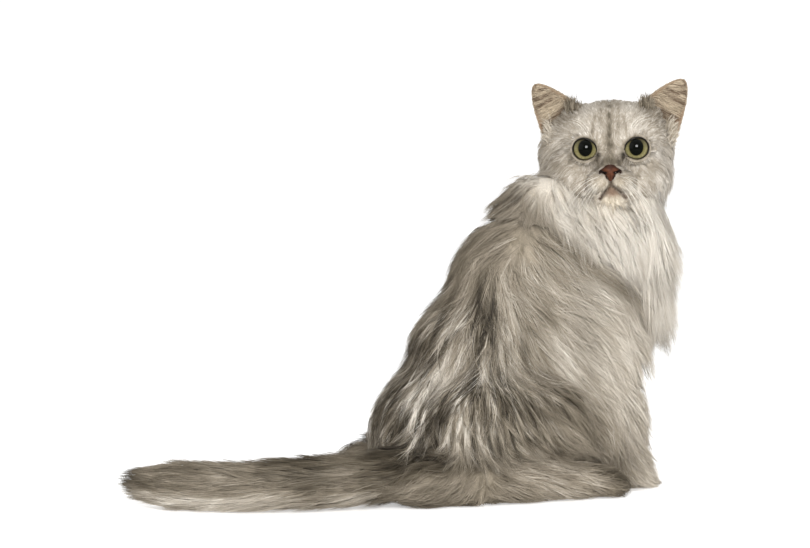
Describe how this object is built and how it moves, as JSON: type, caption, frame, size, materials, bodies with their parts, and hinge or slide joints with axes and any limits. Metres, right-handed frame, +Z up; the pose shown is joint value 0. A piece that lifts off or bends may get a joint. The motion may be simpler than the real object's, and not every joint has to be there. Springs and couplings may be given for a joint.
{
  "type": "persian cat",
  "caption": "Life-size still model of a long-haired silver cat, sitting with its tail laid out behind it and its head turned back.",
  "frame": {"origin": "the middle of the whole outline seen from above, on the floor that the cat sits on", "axes": "+X the way the body faces, with the tail laid out towards -X; +Y the cat's left; +Z up"},
  "size_m": [0.498, 0.213, 0.3506],
  "materials": {
    "coat": "long silver-grey fur with dark tips",
    "ruff": "long soft white fur",
    "tail": "dense grey fur with faint dark bands",
    "ear": "short cream fur over pink skin",
    "eye": "wet gloss, yellow-green iris with a dark round pupil",
    "nose": "brick-red nose leather with a dark rim"
  },
  "bodies": {
    "root": {"head": "coat", "ear_right": "ear", "ear_left": "ear", "eye_right": "eye", "eye_left": "eye", "nose": "nose", "neck": "ruff", "torso": "coat", "thigh_right": "coat", "thigh_left": "coat", "hind_foot_right": "coat", "hind_foot_left": "coat", "foreleg_right": "coat", "foreleg_left": "coat", "tail_base": "tail", "tail_middle": "tail", "tail_brush": "tail"}
  },
  "joints": []
}
